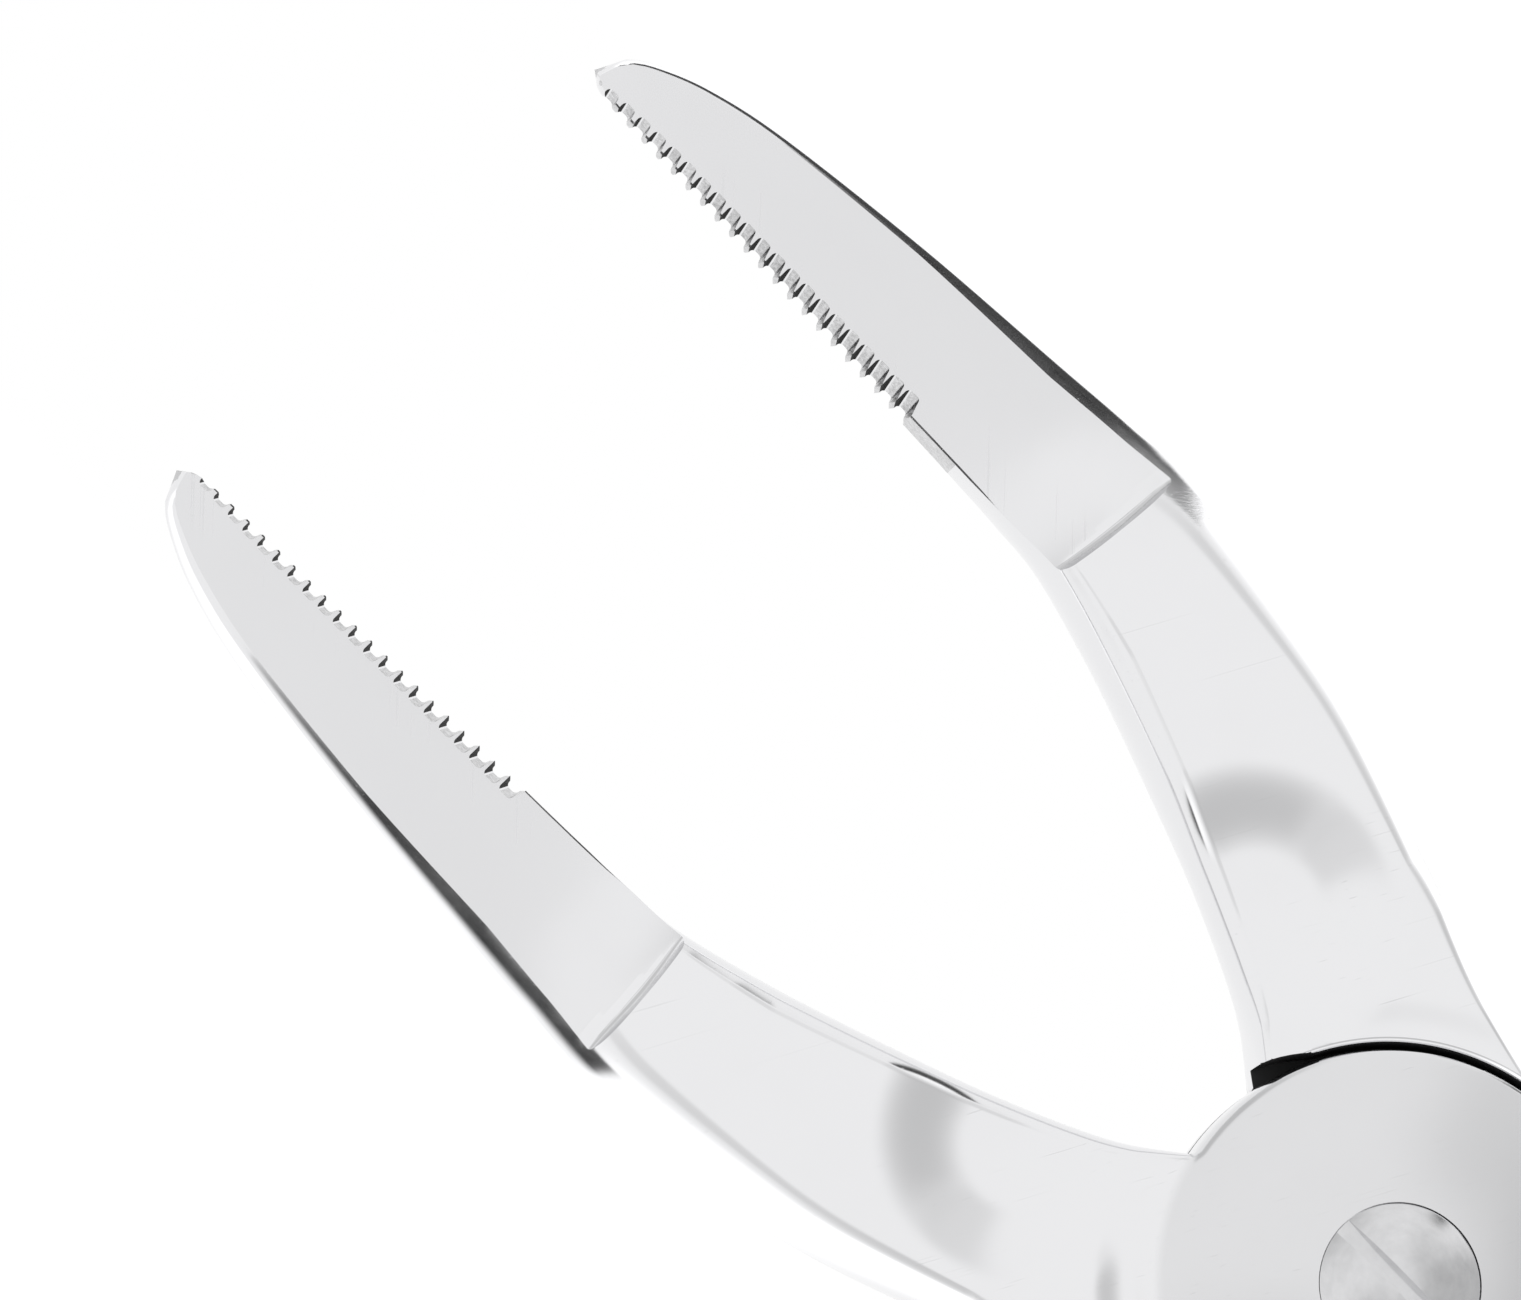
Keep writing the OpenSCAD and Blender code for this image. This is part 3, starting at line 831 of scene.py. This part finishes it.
class Finish:
    """A new material with its shader, and the patterns that the finishes share."""

    def __init__(self, name, metallic=1.0):
        self.material = bpy.data.materials.new(name)
        self.material.use_nodes = True
        self.tree = self.material.node_tree
        self.shader = self.tree.nodes["Principled BSDF"]
        self.shader.inputs["Metallic"].default_value = metallic
        self.start = Sock(self.tree, None)
        self.place = Sock(self.tree, self.start.node("ShaderNodeTexCoord").outputs["Object"])

    def noise(self, scale, turn=0.0, detail=3.0, roughness=0.6):
        """Noise with its own scale along each axis, in turns to the metre, turned about Z."""
        spot = self.start.node("ShaderNodeMapping", None, Vector=self.place, Rotation=(0, 0, -turn))
        stretch = self.start.node("ShaderNodeMapping", None, Vector=Sock(self.tree, spot.outputs[0]),
                                  Scale=scale)
        made = self.start.node("ShaderNodeTexNoise", None, Vector=Sock(self.tree, stretch.outputs[0]),
                               Scale=1.0, Detail=detail, Roughness=roughness)
        return Sock(self.tree, made.outputs["Fac"])

    def far_from(self, spot):
        """Distance in millimetres from an upright line."""
        dx, dy = self.axis(0) - spot[0], self.axis(1) - spot[1]
        return (dx * dx + dy * dy) ** 0.5

    def axis(self, index):
        """One coordinate in millimetres."""
        parts = self.start.node("ShaderNodeSeparateXYZ", None, Vector=self.place)
        return Sock(self.tree, parts.outputs[index]) * 1000

    def colour(self, low, high, share):
        """Base colour between two tones. Inputs 6 and 7 and output 2 are the Mix node's colours."""
        mix = self.start.node("ShaderNodeMix", {"data_type": "RGBA"}, Factor=share,
                              i6=(*low, 1), i7=(*high, 1))
        self.link(Sock(self.tree, mix.outputs[2]), "Base Color")

    def link(self, value, socket):
        """Feeds one of the shader's sockets."""
        self.tree.links.new(value.socket, self.shader.inputs[socket])

    def bump(self, height, strength, distance):
        """Surface relief, with its distance in millimetres."""
        made = self.start.node("ShaderNodeBump", None, Height=height, Strength=strength,
                               Distance=distance * MM)
        self.link(Sock(self.tree, made.outputs[0]), "Normal")


STEEL = (0.83, 0.83, 0.842)


def tone(colour, share):
    """A colour with its brightness scaled."""
    return tuple(share * c for c in colour)


def polished_steel(name, corner_at=None):
    """Mirror-polished steel: faint buffing streaks and clouds, a satin boss, hairline scratches,
    and, where a corner is named, the coarser streaks of the wheel that blended it."""
    f = Finish(name)
    streak = f.noise((60, 4200, 4200), 0.35)
    cloud = f.noise((140, 140, 140), detail=4)
    hair = f.noise((35, 9000, 9000), 1.1, detail=1).ramp(0.70, 0.78)
    boss = 1 - f.far_from((0, 0)).ramp(BOSS_RADIUS - 0.4, BOSS_RADIUS + 0.4)
    height = streak * 0.5 + hair * -0.4
    dull = cloud * 0.05 + streak * 0.03 + boss * 0.06 + hair * 0.1
    if corner_at:
        brushed = f.noise((420, 6500, 6500), math.radians(44), detail=2)
        near = 1 - f.far_from(corner_at).ramp(1.0, 6.5)
        height = height + near * brushed * 9.0
        dull = dull + near * 0.08
    f.link(0.07 + dull, "Roughness")
    f.colour(tone(STEEL, 0.85), STEEL, 1 - (boss * 0.72 + hair * 0.5 + (cloud - 0.5) * 0.2))
    f.bump(height, 0.12, 0.004)
    return f.material


def ground_steel(name):
    """Ground facet: fine scratches across the blade and a duller, slightly darker polish, with
    deeper scratches beside the toothed edge."""
    f = Finish(name)
    scratch = f.noise((5200, 160, 160), 0.5)
    deep = f.noise((7000, 60, 60), 0.75, detail=1).ramp(0.66, 0.76)
    beside = 1 - abs(f.axis(1)).ramp(16.8, 19.6)
    cloud = f.noise((90, 130, 130), detail=3)
    f.link(0.12 + scratch * 0.06 + cloud * 0.06 + deep * beside * 0.2, "Roughness")
    f.colour(tone(STEEL, 0.93), STEEL, 0.8 - deep * beside * 0.25 - (cloud - 0.5) * 0.6)
    f.bump(scratch * 0.5 - deep * beside * 0.5, 0.15, 0.004)
    return f.material


def marked_metal(name, colour, roughness, scale=(300, 4000, 4000), turn=0.0, relief=0.1,
                 metallic=1.0, dark=0.8):
    """Turned, drawn or pressed metal with tool marks along one way and a little cloudiness. Dark
    is the brightness of the marks' low places against the colour. A near-black finish that
    paints shade has metallic 0."""
    f = Finish(name, metallic)
    marks = f.noise(scale, turn)
    cloud = f.noise((400, 400, 400), detail=4)
    f.link(roughness + marks * 0.08 + cloud * 0.1 - 0.06, "Roughness")
    f.colour(tone(colour, dark), colour, 0.45 + (marks - 0.5) * 1.2 + (cloud - 0.5) * 0.6)
    f.bump(marks, relief, 0.004)
    return f.material


BLENDED_CORNER = (41.5, -23.2)  # where the back lever's spine meets its plunge
EVEN_GRAIN = (5200, 5200, 5200)
# In the order FACET, GROOVE, RECESS, EDGE, FLANK.
lever_finishes = [
    ground_steel("ground_facet_steel"),
    marked_metal("filed_groove_steel", (0.92, 0.92, 0.93), 0.25, EVEN_GRAIN, relief=0.4, dark=0.35),
    # Painted shade in the joint's recess: near black, not metal.
    marked_metal("recess_painted_shade", (0.012, 0.012, 0.013), 0.6, metallic=0.0),
    marked_metal("filed_edge_steel", (0.86, 0.86, 0.87), 0.25, (6000, 4000, 4000), relief=0.4, dark=0.5),
    # Painted shade on the grooves' flanks that look back from the tip: near black, not metal.
    marked_metal("groove_flank_painted_shade", (0.012, 0.012, 0.012), 0.7, EVEN_GRAIN, metallic=0.0),
]
for piece, finish in ((front, polished_steel("polished_front_lever")),
                      (back, polished_steel("polished_back_lever", BLENDED_CORNER))):
    # Clearing the materials puts every face back to the first, so the faces' own are kept.
    indices = np.empty(len(piece.data.polygons), np.int32)
    piece.data.polygons.foreach_get("material_index", indices)
    piece.data.materials.clear()
    for material in [finish, *lever_finishes]:
        piece.data.materials.append(material)
    piece.data.polygons.foreach_set("material_index", indices)
turned = marked_metal("turned_steel", tone(STEEL, 0.92), 0.14, (900, 900, 6000))
sprung = marked_metal("spring_temper_steel", (0.42, 0.41, 0.4), 0.3)
pressed = marked_metal("pressed_latch_steel", tone(STEEL, 0.94), 0.2, (150, 5200, 5200), LATCH_FOLD, 0.2)
bronze = marked_metal("ring_bronze", (0.62, 0.42, 0.2), 0.32)
for finish, pieces in (
    (turned, (screw, nut, stop, rivet, stud)),
    (sprung, (washer, spring, rivet_washer)),
    (pressed, (plate,)),
    (bronze, (ring,)),
):
    for piece in pieces:
        piece.data.materials.clear()
        piece.data.materials.append(finish)

# ---------------------------------------------------------------------------------------------
# Floor and light
# ---------------------------------------------------------------------------------------------


FLOOR_HALF = 3000.0


def make_floor():
    """A wide pale floor at the rest plane, lit from within so that it stays clean under the tool.
    It is a little dimmer under the open throat, which the jaws' inner edges mirror, and it has
    a dark card beside the back jaw, seen only in reflections, that darkens the blade's spine."""
    corners = np.array([(-1, -1), (1, -1), (1, 1), (-1, 1)]) * FLOOR_HALF
    floor = mesh_piece("floor", np.column_stack([corners, np.zeros(4)]), [[0, 1, 2, 3]])
    f = Finish("pale_floor", 0.0)
    x, y = f.axis(0), f.axis(1)
    throat = x.ramp(8, 14) * (1 - abs(y).ramp(20, 27))
    card = x.ramp(43, 45) * y.ramp(-35, -37)
    seen = Sock(f.tree, f.start.node("ShaderNodeLightPath").outputs["Is Camera Ray"])
    f.link((1.3 - throat * 0.3) * (1 - card * 0.95 * (1 - seen)), "Emission Color")
    shader = f.shader
    shader.inputs["Base Color"].default_value = (0, 0, 0, 1)
    shader.inputs["Roughness"].default_value = 0.9
    shader.inputs["Specular IOR Level"].default_value = 0
    shader.inputs["Emission Strength"].default_value = 1.0
    floor.data.materials.append(f.material)


make_floor()


def make_tent():
    """A light tent, white where it is seen itself. In reflections it is a little dimmer beside
    the spot that the level faces mirror, dimmer over the handles and the tips, brighter off to
    the sides, and has a dark card on each side that draws the dark line of a blade's spine."""
    world = bpy.data.worlds.new("light_tent")
    bpy.context.scene.world = world
    world.use_nodes = True
    tree = world.node_tree
    start = Sock(tree, None)
    way = Sock(tree, start.node("ShaderNodeTexCoord").outputs["Generated"])
    lean = math.radians(CAMERA_LEAN)
    degrees = 180 / math.pi

    def along(axis):
        dot = start.node("ShaderNodeVectorMath", {"operation": "DOT_PRODUCT"}, i0=way)
        dot.inputs[1].default_value = axis
        return Sock(tree, dot.outputs["Value"])

    x, y, z = along((1, 0, 0)), along((0, 1, 0)), along((0, 0, 1))
    across = along((0, math.cos(lean), math.sin(lean)))
    # Degrees off that spot, and round it from 0 over the tips to 180 over the handles.
    off = start.maths("ARCCOSINE", along((0, -math.sin(lean), math.cos(lean)))) * degrees
    spot = start.maths("ARCTAN2", abs(across), x) * degrees
    facets = off.ramp(6, 11) * (1 - off.ramp(20, 28)) * spot.ramp(66, 80) * (1 - spot.ramp(100, 112))
    handles = off.ramp(5, 17) * spot.ramp(95, 122)
    tips = off.ramp(18, 36) * (1 - off.ramp(75, 95)) * (1 - spot.ramp(14, 40))
    level = 1 - 0.19 * facets - 0.38 * handles * (1 - off.ramp(40, 50)) - 0.34 * tips
    level = level + 0.35 * off.ramp(26, 50) * spot.ramp(76, 92) * (1 - spot.ramp(112, 125))
    # Degrees down from straight above, and round from the tips, for the two dark cards.
    down = start.maths("ARCCOSINE", z) * degrees
    bearing = start.maths("ARCTAN2", abs(y), x) * degrees
    back_card = y.ramp(0.02, -0.02) * bearing.ramp(79.5, 83) * (1 - bearing.ramp(87.5, 89.5))
    back_card = back_card * down.ramp(42, 48)
    front_card = y.ramp(-0.02, 0.02) * bearing.ramp(74, 79) * (1 - bearing.ramp(86, 89))
    front_card = front_card * down.ramp(36, 42) * (1 - down.ramp(62, 84))
    level = level * (1 - 0.97 * (back_card + front_card))
    seen = Sock(tree, start.node("ShaderNodeLightPath").outputs["Is Camera Ray"])
    background = tree.nodes["Background"]
    tree.links.new((level * (1 - seen) + seen).socket, background.inputs["Strength"])
    background.inputs["Color"].default_value = (1, 1, 1, 1)


make_tent()
bpy.context.scene.view_settings.view_transform = "Standard"
